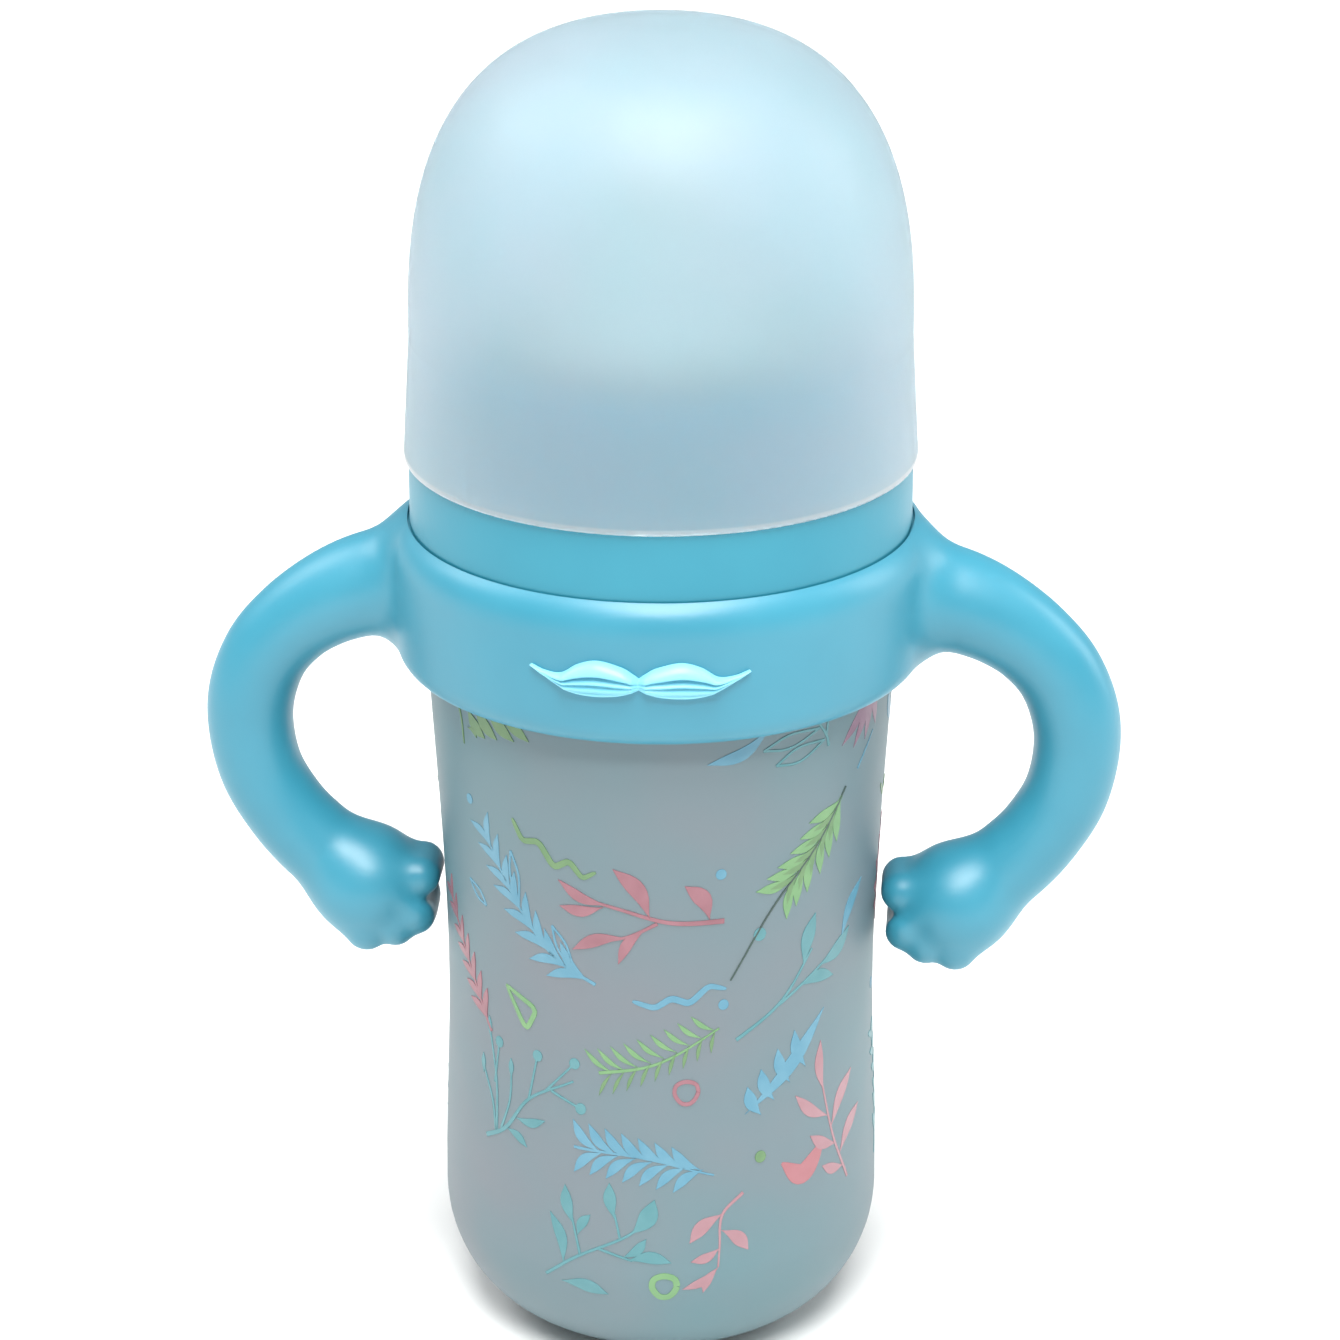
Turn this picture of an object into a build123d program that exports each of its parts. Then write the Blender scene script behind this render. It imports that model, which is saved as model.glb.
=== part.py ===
from build123d import *
import math
import os

# A baby bottle with a two-handled collar, a screw-on teat, a domed travel cap and a weighted straw.
# The origin is at the centre of the base, +Z runs up the bottle's axis, the front faces -Y
# and the two handle arms reach out along +X and -X.  All sizes are in millimetres.

# ---------------------------------------------------------------- bottle body
shoulder_radius = 33.0  # widest part of the wall, under the handle collar
shoulder_height = 118.0  # top of the shoulder, where the neck starts
shoulder_fillet = 1.2
shoulder_step = 3.1  # how far the neck stands in from the shoulder
upper_wall_drop = 25.0  # below the shoulder, where the waist has widened again
upper_wall_inset = 0.6
waist_height = 50.0
waist_inset = 2.3
heel_height = 18.5  # top of the large rounded base corner
heel_inset = 1.45
foot_radius = 15.0  # outer edge of the flat foot ring
foot_width = 3.5
dimple_rise = 1.6  # the base is domed inwards inside the foot ring
body_wall = 1.7
floor_thickness = 2.0
straight_band = 9.0  # plain cylinder under the shoulder

# ---------------------------------------------------------------- neck and thread
neck_height = 25.0
neck_wall = 2.0
lip_rounding = 0.5
thread_pitch = 4.0
thread_turns = 1.5
thread_depth = 1.3
thread_foot_width = 2.0
thread_tip_width = 0.9
thread_root_sink = 0.25  # how deep the thread's foot is set into its wall
thread_clearance = 0.3
thread_start = 7.5  # height of the neck thread's start above the shoulder

# ---------------------------------------------------------------- handle ring
collar_wall = 4.1
collar_clearance = 0.4
collar_drop = 16.6  # how far the collar hangs down below the shoulder
collar_lip_thickness = 3.1  # inner lip that lies on the shoulder
collar_seat_depth = 0.8  # the screw ring's skirt sits this deep in the collar
collar_top_rounding = 6.5
collar_foot_rounding = 3.0
collar_taper = 0.45  # the collar's foot is a little narrower than its middle
seat_clearance = 0.35
stack_gap = 0.1  # axial gap between pieces that are clamped together

# Stations along an arm: reach out from the bottle's shoulder, rise above the collar's foot, radius.
arm_stations = [
    (1.3, 10.2, 8.4),
    (5.7, 9.6, 7.9),
    (10.0, 8.2, 7.2),
    (14.5, 6.0, 6.65),
    (19.0, 2.8, 6.25),
    (23.0, -1.8, 6.15),
    (25.4, -7.8, 6.2),
    (25.8, -13.8, 6.1),
    (24.4, -20.5, 6.0),
    (21.1, -26.4, 6.0),
    (17.6, -30.5, 6.15),
    (14.0, -33.8, 6.4),
    (10.5, -36.2, 6.8),
]
lump_rounding = 0.8  # share of a lump's radius that its ends are rounded by
# A closed hand's rounded lumps: reach, drop below the collar's foot, radius, half length along Y.
palm = (9.2, 37.6, 8.0, 8.0)
thumb = (2.2, 35.2, 2.9, 5.0)
fingers = [
    (2.4, 41.7, 2.9, 6.2),
    (5.3, 43.9, 2.7, 6.5),
    (9.4, 44.6, 2.9, 6.3),
]

ornament_relief = 1.2
ornament_height_on_collar = 9.8
ornament_half_width = 14.9

# ---------------------------------------------------------------- screw ring
ring_skirt_wall = 3.45
ring_skirt_height = 9.7
ring_ledge = 0.75  # the travel cap's rim rests on this step
ring_top_inset = 1.5  # how much the ring narrows from the ledge to its top corner
ring_top_corner = 5.2
ring_top_thickness = 2.0
ring_top_face_inset = 4.9

# ---------------------------------------------------------------- teat
flange_thickness = 2.0
flange_inset = 0.2  # flange edge, in from the neck's outside
flange_grip = 5.2  # how much of the flange the ring's top covers
flange_inner_slope = 4.0  # width of the sloped rim under the flange's inner edge
opening_clearance = 0.3
teat_wall = 1.8
teat_height = 35.0  # above the flange's top
teat_base_height = 2.6
teat_shoulder_share = 0.86  # of the base radius, a little above the base
teat_shoulder_rise = 5.6
teat_slope_share = 0.58  # of the base radius, half way up to the nipple
teat_slope_drop = 20.5  # this point and the next three are measured down from the tip
nipple_root_drop = 15.4
nipple_root_flare = 1.2
nipple_waist_radius = 7.3
nipple_waist_drop = 11.0
nipple_radius = 7.6
nipple_drop = 6.5
shoulder_lag = 1.2  # the inside follows this much lower, which thickens the wall there
slope_lag = 1.7
milk_hole_radius = 0.6
vent_hole_radius = 0.6
connector_bore_radius = 5.4
bore_depth = 8.5  # top of the connector's bore, below the tip
bore_ledge = 2.2  # step under the bore, which the connector's collar meets

# ---------------------------------------------------------------- travel cap
cap_clearance = 0.3
cap_rim_wall = 1.1
cap_wall = 1.2
cap_rim_height = 2.0
cap_side_height = 17.0
cap_side_taper = 1.0
cap_headroom = 9.8  # above the teat's tip
cap_squareness = 2.65  # exponent of the dome's superellipse

# ---------------------------------------------------------------- weighted straw
connector_clearance = 0.05
connector_length = 7.0
connector_groove = 0.35  # depth of the groove round the plug
connector_groove_height = 3.0  # of the groove's middle, above the plug's foot
connector_groove_half_width = 0.6
connector_lead_in = 0.8
connector_collar_radius = 7.0
connector_collar_thickness = 1.6
connector_stem_radius = 1.4
connector_stem_length = 7.2
connector_ball_radius = 2.45
connector_bore = 0.8
tube_inner_radius = 2.55
tube_wall = 1.0
tube_overlap = 3.8  # how far the tube reaches up past the ball's centre
weight_wall = 2.35  # round the steel core
weight_end = 6.0  # housing above and below the core
weight_squareness = 2.2
weight_floor_gap = 4.5
weight_socket_depth = 5.0
weight_lap = 2.4  # the lower shell's spigot inside the upper shell
weight_spigot_wall = 0.8
weight_fit = 0.05
core_radius = 6.6
core_height = 11.0
core_drop = 1.0  # the core sits this much below the housing's middle
intake_radius = 1.3
intake_count = 4
intake_circle = 4.2


# ---------------------------------------------------------------- derived sizes
def superellipse(radius, height, exponent, count):
    """Points of a quarter superellipse, from (radius, 0) round to (0, height)."""
    points = []
    for step in range(count + 1):
        angle = math.pi / 2 * step / count
        across = radius * math.cos(angle) ** (2 / exponent)
        up = height * math.sin(angle) ** (2 / exponent)
        points.append((across if step < count else 0.0, up))
    return points


upper_wall_radius = shoulder_radius - upper_wall_inset
upper_wall_height = shoulder_height - upper_wall_drop
waist_radius = shoulder_radius - waist_inset
heel_radius = shoulder_radius - heel_inset
neck_radius = shoulder_radius - shoulder_step
neck_inner_radius = neck_radius - neck_wall
lip_height = shoulder_height + neck_height
floor_height = dimple_rise + floor_thickness

collar_inner_radius = shoulder_radius + collar_clearance
collar_radius = collar_inner_radius + collar_wall
collar_foot = shoulder_height - collar_drop
lip_bottom = shoulder_height + stack_gap
lip_top = lip_bottom + collar_lip_thickness
collar_top = lip_top + collar_seat_depth

ring_inner_radius = neck_radius + thread_depth + thread_clearance
ring_bottom = lip_top + stack_gap
ring_radius = ring_inner_radius + ring_skirt_wall
ledge_height = ring_bottom + ring_skirt_height
ring_upper_radius = ring_radius - ring_ledge
ring_corner_radius = ring_upper_radius - ring_top_inset
flange_bottom = lip_height + stack_gap
flange_top = flange_bottom + flange_thickness
ring_top_underside = flange_top + stack_gap
ring_top = ring_top_underside + ring_top_thickness
flange_radius = neck_radius - flange_inset
ring_opening_radius = flange_radius - flange_grip
teat_base_radius = ring_opening_radius - opening_clearance
teat_tip = flange_top + teat_height

cap_rim = ledge_height + stack_gap
cap_inner_radius = ring_upper_radius + cap_clearance
cap_radius = cap_inner_radius + cap_rim_wall
cap_dome_radius = cap_radius - cap_side_taper
cap_dome_base = cap_rim + cap_side_height
cap_top = teat_tip + cap_headroom + cap_wall

bore_top = teat_tip - bore_depth
connector_top = bore_top - stack_gap
connector_foot = connector_top - connector_length
bore_bottom = connector_foot + stack_gap
connector_collar_foot = connector_foot - connector_collar_thickness
straw_pivot = connector_collar_foot - connector_stem_length
tube_top = straw_pivot + tube_overlap
tube_radius = tube_inner_radius + tube_wall
weight_radius = core_radius + weight_fit + weight_wall
weight_half_height = core_height / 2 + weight_end
weight_bottom = floor_height + weight_floor_gap
weight_centre = weight_bottom + weight_half_height
weight_top = weight_centre + weight_half_height
tube_bottom = weight_top - weight_socket_depth
core_bottom = weight_centre - core_height / 2 - core_drop
core_top = core_bottom + core_height
spigot_radius = core_radius + weight_fit + weight_spigot_wall


def thread(radius, start_height, outward):
    """One helical thread on a wall of this radius, outside it or inside it."""
    reach = thread_depth if outward else -thread_depth
    sink = -thread_root_sink if outward else thread_root_sink
    with BuildPart() as ridge:
        with BuildLine() as path:
            Helix(
                pitch=thread_pitch,
                height=thread_pitch * thread_turns,
                radius=radius,
                center=(0, 0, start_height),
            )
        with BuildSketch(Plane.XZ):
            with BuildLine():
                Polyline(
                    (radius + sink, start_height - thread_foot_width / 2),
                    (radius + reach, start_height - thread_tip_width / 2),
                    (radius + reach, start_height + thread_tip_width / 2),
                    (radius + sink, start_height + thread_foot_width / 2),
                    close=True,
                )
            make_face()
        sweep(path=path.line, is_frenet=True)
    return ridge.part


# ---------------------------------------------------------------- bottle body
neck_thread = thread(neck_radius, shoulder_height + thread_start, outward=True)

with BuildPart() as bottle_body:
    with BuildSketch(Plane.XZ):
        with BuildLine():
            # Outside, from the centre of the base up to the lip.
            ThreePointArc(
                (0, dimple_rise),
                ((foot_radius - foot_width) / 2, dimple_rise * 0.75),
                (foot_radius - foot_width, 0),
            )
            Line((foot_radius - foot_width, 0), (foot_radius, 0))
            EllipticalCenterArc(
                (foot_radius, heel_height),
                heel_radius - foot_radius,
                heel_height,
                start_angle=-90,
                arc_size=90,
            )
            Spline(
                (heel_radius, heel_height),
                (waist_radius, waist_height),
                (upper_wall_radius, upper_wall_height),
                (shoulder_radius, shoulder_height - straight_band),
                tangents=[(0, 1), (0, 1)],
            )
            Polyline(
                (shoulder_radius, shoulder_height - straight_band),
                (shoulder_radius, shoulder_height - shoulder_fillet),
                (shoulder_radius - shoulder_fillet, shoulder_height),
                (neck_radius, shoulder_height),
                (neck_radius, lip_height - lip_rounding),
                (neck_radius - lip_rounding, lip_height),
                (neck_inner_radius + lip_rounding, lip_height),
                (neck_inner_radius, lip_height - lip_rounding),
                (neck_inner_radius, shoulder_height - body_wall),
                (shoulder_radius - body_wall, shoulder_height - shoulder_step - 2 * body_wall),
                (shoulder_radius - body_wall, shoulder_height - straight_band),
            )
            # Inside, back down to the floor.
            Spline(
                (shoulder_radius - body_wall, shoulder_height - straight_band),
                (upper_wall_radius - body_wall, upper_wall_height),
                (waist_radius - body_wall, waist_height),
                (heel_radius - body_wall, heel_height),
                tangents=[(0, -1), (0, -1)],
            )
            EllipticalCenterArc(
                (foot_radius, heel_height),
                heel_radius - body_wall - foot_radius,
                heel_height - floor_height,
                start_angle=-90,
                arc_size=90,
            )
            Line((foot_radius, floor_height), (0, floor_height))
            Line((0, floor_height), (0, dimple_rise))
        make_face()
    revolve(axis=Axis.Z)
    add(neck_thread)

bottle_body.part.label = "bottle_body"

# ---------------------------------------------------------------- handle ring


def lump(side, reach, drop, radius, half_length):
    """A short roll along Y with rounded ends, this far out from the shoulder."""
    with BuildPart() as roll:
        with BuildSketch(Plane.XZ):
            with Locations((side * (shoulder_radius + reach), collar_foot - drop)):
                Circle(radius)
        extrude(amount=half_length, both=True)
        fillet(roll.edges().filter_by(GeomType.CIRCLE), radius * lump_rounding)
    return roll.part


def arm(side):
    """One handle arm as a smooth tube through its stations, on the +X or the -X side."""
    centres = [
        Vector(side * (shoulder_radius + reach), 0, collar_foot + rise)
        for reach, rise, _ in arm_stations
    ]
    with BuildPart() as tube:
        for index, (_, _, radius) in enumerate(arm_stations):
            before = centres[max(index - 1, 0)]
            after = centres[min(index + 1, len(centres) - 1)]
            with BuildSketch(Plane(centres[index], x_dir=(0, 1, 0), z_dir=after - before)):
                Circle(radius)
        loft()
    return tube.part


with BuildPart() as ornament:
    with BuildSketch(Plane.XZ.offset(collar_radius - 2 * collar_wall)):
        with BuildLine():
            Spline(
                (0, 0.8),
                (0.38 * ornament_half_width, 2.9),
                (0.72 * ornament_half_width, 1.1),
                (ornament_half_width, 1.3),
            )
            Spline(
                (ornament_half_width, 1.3),
                (0.74 * ornament_half_width, -1.3),
                (0.42 * ornament_half_width, -2.1),
                (0, -0.9),
            )
            Line((0, -0.9), (0, 0.8))
        make_face()
        mirror(about=Plane.YZ)
    extrude(amount=4 * collar_wall)
    with BuildSketch(Plane.XY.offset(-2 * collar_wall)):
        Circle(collar_radius + ornament_relief)
        Circle(collar_inner_radius + collar_wall / 2, mode=Mode.SUBTRACT)
    extrude(amount=4 * collar_wall, mode=Mode.INTERSECT)

limbs = []
for side in (1, -1):
    limbs.append(arm(side))
    limbs.extend(lump(side, *sizes) for sizes in [palm, thumb, *fingers])

with BuildPart() as handle_ring:
    with BuildSketch(Plane.XZ):
        with BuildLine():
            foot_x = collar_radius - collar_taper - collar_foot_rounding + 0.4
            Line((collar_inner_radius, collar_foot), (foot_x, collar_foot))
            Spline(
                (foot_x, collar_foot),
                (collar_radius - collar_taper, collar_foot + collar_foot_rounding + 0.6),
                (collar_radius, (collar_foot + collar_top) / 2),
                (collar_radius, collar_top - collar_top_rounding),
                tangents=[(1, 0.25), (0, 1)],
            )
            seat_edge = ring_radius + seat_clearance
            Spline(
                (collar_radius, collar_top - collar_top_rounding),
                (seat_edge + 0.25, collar_top),
                tangents=[(0, 1), (-1, 0.2)],
            )
            Polyline(
                (seat_edge + 0.25, collar_top),
                (seat_edge, collar_top),
                (seat_edge, lip_top),
                (ring_inner_radius, lip_top),
                (ring_inner_radius, lip_bottom),
                (collar_inner_radius, lip_bottom),
                (collar_inner_radius, collar_foot),
            )
        make_face()
    revolve(axis=Axis.Z)
    for limb in limbs:
        add(limb)
    # The bore stays clear of the arms' roots.
    with BuildSketch(Plane.XY.offset(collar_foot - 1)):
        Circle(collar_inner_radius)
    extrude(amount=lip_bottom - collar_foot + 1, mode=Mode.SUBTRACT)
    with Locations((0, 0, collar_foot + ornament_height_on_collar)):
        add(ornament.part)

handle_ring.part.label = "handle_ring"

# ---------------------------------------------------------------- screw ring
ring_thread = thread(
    ring_inner_radius,
    shoulder_height + thread_start - thread_pitch / 2,
    outward=False,
)

with BuildPart() as screw_ring:
    with BuildSketch(Plane.XZ):
        with BuildLine():
            Polyline(
                (ring_inner_radius, ring_bottom),
                (ring_radius, ring_bottom),
                (ring_radius, ledge_height),
                (ring_upper_radius, ledge_height),
                (ring_corner_radius, ring_top - ring_top_corner),
            )
            Spline(
                (ring_corner_radius, ring_top - ring_top_corner),
                (ring_corner_radius - ring_top_face_inset * 0.3, ring_top - ring_top_corner * 0.28),
                (ring_corner_radius - ring_top_face_inset, ring_top),
                tangents=[(0, 1), (-1, 0.1)],
            )
            Polyline(
                (ring_corner_radius - ring_top_face_inset, ring_top),
                (ring_opening_radius, ring_top),
                (ring_opening_radius, ring_top_underside),
                (ring_inner_radius, ring_top_underside),
                (ring_inner_radius, ring_bottom),
            )
        make_face()
    revolve(axis=Axis.Z)
    add(ring_thread)

screw_ring.part.label = "screw_ring"

# ---------------------------------------------------------------- travel cap


def cap_outline(wall):
    """Points of the dome's outside, or of its inside for a wall, above the straight side."""
    return [
        (across, cap_dome_base + up)
        for across, up in superellipse(
            cap_dome_radius - wall, cap_top - wall - cap_dome_base, cap_squareness, 12
        )
    ]


with BuildPart() as travel_cap:
    with BuildSketch(Plane.XZ):
        with BuildLine():
            Line((cap_inner_radius, cap_rim), (cap_radius, cap_rim))
            Line((cap_radius, cap_rim), (cap_dome_radius, cap_dome_base))
            Spline(*cap_outline(0), tangents=[(0, 1), (-1, 0)])
            Line((0, cap_top), (0, cap_top - cap_wall))
            Spline(*reversed(cap_outline(cap_wall)), tangents=[(1, 0), (0, -1)])
            Polyline(
                (cap_dome_radius - cap_wall, cap_dome_base),
                (cap_inner_radius, cap_rim + cap_rim_height),
                (cap_inner_radius, cap_rim),
            )
        make_face()
    revolve(axis=Axis.Z)
    rim_edges = travel_cap.edges().filter_by(GeomType.CIRCLE).group_by(Axis.Z)[0]
    fillet(rim_edges, cap_rim_wall * 0.35)

travel_cap.part.label = "travel_cap"

# ---------------------------------------------------------------- teat
with BuildPart() as teat:
    with BuildSketch(Plane.XZ):
        with BuildLine():
            dome_base = flange_top + teat_base_height
            Polyline(
                (neck_inner_radius - teat_wall, flange_bottom),
                (flange_radius, flange_bottom),
                (flange_radius, flange_top),
                (teat_base_radius, flange_top),
                (teat_base_radius, dome_base),
            )
            Spline(
                (teat_base_radius, dome_base),
                (teat_shoulder_share * teat_base_radius, dome_base + teat_shoulder_rise),
                (teat_slope_share * teat_base_radius, teat_tip - teat_slope_drop),
                (nipple_waist_radius + nipple_root_flare, teat_tip - nipple_root_drop),
                (nipple_waist_radius, teat_tip - nipple_waist_drop),
                (nipple_radius, teat_tip - nipple_drop),
                (0, teat_tip),
                tangents=[(0, 1), (-1, 0)],
            )
            Line((0, teat_tip), (0, teat_tip - teat_wall))
            Spline(
                (0, teat_tip - teat_wall),
                (connector_bore_radius, teat_tip - nipple_drop),
                (connector_bore_radius, bore_top),
                tangents=[(1, 0), (0, -1)],
            )
            Polyline(
                (connector_bore_radius, bore_top),
                (connector_bore_radius, bore_bottom),
                (connector_bore_radius + bore_ledge, bore_bottom),
            )
            Spline(
                (connector_bore_radius + bore_ledge, bore_bottom),
                (teat_slope_share * teat_base_radius - teat_wall, teat_tip - teat_slope_drop - slope_lag),
                (
                    teat_shoulder_share * teat_base_radius - teat_wall,
                    dome_base + teat_shoulder_rise - shoulder_lag,
                ),
                (teat_base_radius - teat_wall, flange_top),
                tangents=[(0.5, -0.85), (0, -1)],
            )
            Line(
                (teat_base_radius - teat_wall, flange_top),
                (neck_inner_radius - teat_wall - flange_inner_slope, flange_bottom),
            )
            Line(
                (neck_inner_radius - teat_wall - flange_inner_slope, flange_bottom),
                (neck_inner_radius - teat_wall, flange_bottom),
            )
        make_face()
    revolve(axis=Axis.Z)
    with Locations((0, 0, teat_tip)):
        Cylinder(milk_hole_radius, 4 * teat_wall, mode=Mode.SUBTRACT)
    # The vent lets air in under the ring as the baby drinks.
    vent_radius = (ring_opening_radius + neck_inner_radius) / 2
    with Locations((0, vent_radius, flange_bottom)):
        Cylinder(vent_hole_radius, 4 * flange_thickness, mode=Mode.SUBTRACT)

teat.part.label = "teat"

# ---------------------------------------------------------------- straw connector
plug_radius = connector_bore_radius - connector_clearance
groove_middle = connector_foot + connector_groove_height

with BuildPart() as straw_connector:
    with BuildSketch(Plane.XZ):
        with BuildLine():
            Polyline(
                (connector_bore, connector_top),
                (plug_radius - connector_lead_in, connector_top),
                (plug_radius, connector_top - connector_lead_in),
                (plug_radius, groove_middle + 2 * connector_groove_half_width),
                (plug_radius - connector_groove, groove_middle + connector_groove_half_width),
                (plug_radius - connector_groove, groove_middle - connector_groove_half_width),
                (plug_radius, groove_middle - 2 * connector_groove_half_width),
                (plug_radius, connector_foot),
                (connector_collar_radius, connector_foot),
                (connector_collar_radius, connector_collar_foot),
                (connector_stem_radius, connector_collar_foot),
                (connector_stem_radius, straw_pivot),
                (connector_bore, straw_pivot),
                close=True,
            )
        make_face()
    revolve(axis=Axis.Z)
    # The ball inside the straw's end lets the straw swing.
    with Locations((0, 0, straw_pivot)):
        Sphere(connector_ball_radius)
    with Locations((0, 0, straw_pivot)):
        Cylinder(connector_bore, 4 * connector_stem_length, mode=Mode.SUBTRACT)

straw_connector.part.label = "straw_connector"

# ---------------------------------------------------------------- straw and weight
with BuildPart() as straw_tube:
    with BuildSketch(Plane.XY.offset(tube_bottom)):
        Circle(tube_radius)
        Circle(tube_inner_radius, mode=Mode.SUBTRACT)
    extrude(amount=tube_top - tube_bottom)

straw_tube.part.label = "straw_tube"

# Half of the egg-shaped housing's section, with the core's room taken out of it.
housing_quarter = superellipse(weight_radius, weight_half_height, weight_squareness, 8)
housing_above = [(across, weight_centre + up) for across, up in housing_quarter]
housing_below = [(across, weight_centre - up) for across, up in housing_quarter]
with BuildSketch() as housing_section:
    with BuildLine():
        Spline(*housing_above, tangents=[(0, 1), (-1, 0)])
        Spline(*housing_below, tangents=[(0, -1), (-1, 0)])
        Line((0, weight_bottom), (0, weight_top))
    make_face()
    with Locations((0, (core_bottom + core_top) / 2)):
        Rectangle(
            2 * (core_radius + weight_fit), core_height + 2 * weight_fit, mode=Mode.SUBTRACT
        )

with BuildPart() as weight_shell_upper:
    with BuildSketch(Plane.XZ):
        add(housing_section.sketch)
        # The joint plane, the recess for the lower shell's spigot, the tube's socket and the way through.
        with Locations((0, weight_centre)):
            Rectangle(
                4 * weight_radius,
                2 * weight_half_height,
                align=(Align.CENTER, Align.MAX),
                mode=Mode.SUBTRACT,
            )
            Rectangle(
                2 * (spigot_radius + weight_fit),
                weight_lap + weight_fit,
                align=(Align.CENTER, Align.MIN),
                mode=Mode.SUBTRACT,
            )
            Rectangle(
                2 * tube_inner_radius,
                2 * weight_half_height,
                align=(Align.CENTER, Align.MIN),
                mode=Mode.SUBTRACT,
            )
        with Locations((0, tube_bottom - weight_fit)):
            Rectangle(
                2 * (tube_radius + weight_fit),
                weight_half_height,
                align=(Align.CENTER, Align.MIN),
                mode=Mode.SUBTRACT,
            )
    revolve(axis=Axis.Z)

weight_shell_upper.part.label = "weight_shell_upper"

with BuildPart() as weight_shell_lower:
    with BuildSketch(Plane.XZ):
        add(housing_section.sketch)
        # Cut at the joint plane, except for the spigot that enters the upper shell.
        with Locations((0, weight_centre)):
            Rectangle(
                4 * weight_radius,
                2 * weight_half_height,
                align=(Align.CENTER, Align.MIN),
                mode=Mode.SUBTRACT,
            )
        with Locations((core_radius + weight_fit, weight_centre)):
            Rectangle(
                spigot_radius - core_radius - weight_fit,
                weight_lap,
                align=(Align.MIN, Align.MIN),
            )
    revolve(axis=Axis.Z)
    with BuildSketch(Plane.XY.offset(weight_bottom - 1)):
        with PolarLocations(intake_circle / 2, intake_count):
            Circle(intake_radius)
    extrude(amount=weight_half_height, mode=Mode.SUBTRACT)

weight_shell_lower.part.label = "weight_shell_lower"

with BuildPart() as weight_core:
    with BuildSketch(Plane.XY.offset(core_bottom)):
        Circle(core_radius)
        Circle(tube_inner_radius, mode=Mode.SUBTRACT)
    extrude(amount=core_height)
    chamfer(weight_core.edges().filter_by(GeomType.CIRCLE), 0.4)

weight_core.part.label = "weight_core"

# ---------------------------------------------------------------- export
pieces = [
    bottle_body,
    handle_ring,
    screw_ring,
    travel_cap,
    teat,
    straw_connector,
    straw_tube,
    weight_shell_upper,
    weight_shell_lower,
    weight_core,
]

os.makedirs("parts", exist_ok=True)
for piece in pieces:
    export_step(piece.part, f"parts/{piece.part.label}.step")
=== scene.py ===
import math

import bpy
import numpy as np
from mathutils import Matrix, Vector
from mathutils.bvhtree import BVHTree


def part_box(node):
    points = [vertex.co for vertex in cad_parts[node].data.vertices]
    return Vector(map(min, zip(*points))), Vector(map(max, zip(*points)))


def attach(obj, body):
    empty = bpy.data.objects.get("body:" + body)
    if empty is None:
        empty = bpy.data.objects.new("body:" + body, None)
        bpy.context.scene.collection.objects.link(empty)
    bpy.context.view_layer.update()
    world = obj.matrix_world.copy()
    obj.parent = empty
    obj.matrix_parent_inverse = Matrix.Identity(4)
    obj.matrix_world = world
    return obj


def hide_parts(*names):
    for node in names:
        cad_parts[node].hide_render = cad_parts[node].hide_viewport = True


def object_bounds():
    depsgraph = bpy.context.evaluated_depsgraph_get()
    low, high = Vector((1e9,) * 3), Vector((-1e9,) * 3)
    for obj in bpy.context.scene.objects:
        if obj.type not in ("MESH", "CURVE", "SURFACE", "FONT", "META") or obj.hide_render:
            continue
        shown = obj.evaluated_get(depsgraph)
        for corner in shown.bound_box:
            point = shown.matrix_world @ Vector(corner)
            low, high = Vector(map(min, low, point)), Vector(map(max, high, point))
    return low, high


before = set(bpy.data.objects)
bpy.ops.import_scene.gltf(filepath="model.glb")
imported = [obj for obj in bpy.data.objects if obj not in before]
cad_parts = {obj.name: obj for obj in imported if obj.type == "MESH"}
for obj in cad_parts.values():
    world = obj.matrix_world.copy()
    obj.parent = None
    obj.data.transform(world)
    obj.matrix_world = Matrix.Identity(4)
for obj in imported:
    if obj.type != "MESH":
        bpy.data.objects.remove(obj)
cad_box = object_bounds()
scene = bpy.context.scene

MM = 0.001  # shapes are written in millimetres and become metres in mesh_object
SMOOTH_ANGLE = math.radians(35)  # edges sharper than this stay sharp

# ---------------------------------------------------------------- camera
VIEW_AZIMUTH = math.radians(4.5)
VIEW_PITCH = math.radians(21.85)
VIEW_DISTANCE = 0.57404  # metres from the bottle's axis
VIEW_HEIGHT = 0.32835
VIEW_LENS = 117.64
VIEW_SHIFT = 0.0067
SENSOR_WIDTH = 36.0

camera_data = bpy.data.cameras.new("camera")
camera_data.sensor_width = SENSOR_WIDTH
camera_data.lens = VIEW_LENS
camera_data.shift_x = VIEW_SHIFT
camera = bpy.data.objects.new("camera", camera_data)
scene.collection.objects.link(camera)
camera.location = (
    VIEW_DISTANCE * math.sin(VIEW_AZIMUTH),
    -VIEW_DISTANCE * math.cos(VIEW_AZIMUTH),
    VIEW_HEIGHT,
)
camera.rotation_euler = (math.pi / 2 - VIEW_PITCH, 0.0, VIEW_AZIMUTH)
scene.camera = camera


# ---------------------------------------------------------------- meshes
def mesh_object(name, points_mm, faces, smooth_angle=SMOOTH_ANGLE):
    """A smooth-shaded mesh object from points in millimetres."""
    mesh = bpy.data.meshes.new(name)
    mesh.from_pydata((np.asarray(points_mm, float) * MM).tolist(), [], faces)
    mesh.validate()
    mesh.update()
    mesh.shade_smooth()
    mesh.set_sharp_from_angle(angle=smooth_angle)
    obj = bpy.data.objects.new(name, mesh)
    scene.collection.objects.link(obj)
    return obj


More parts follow.
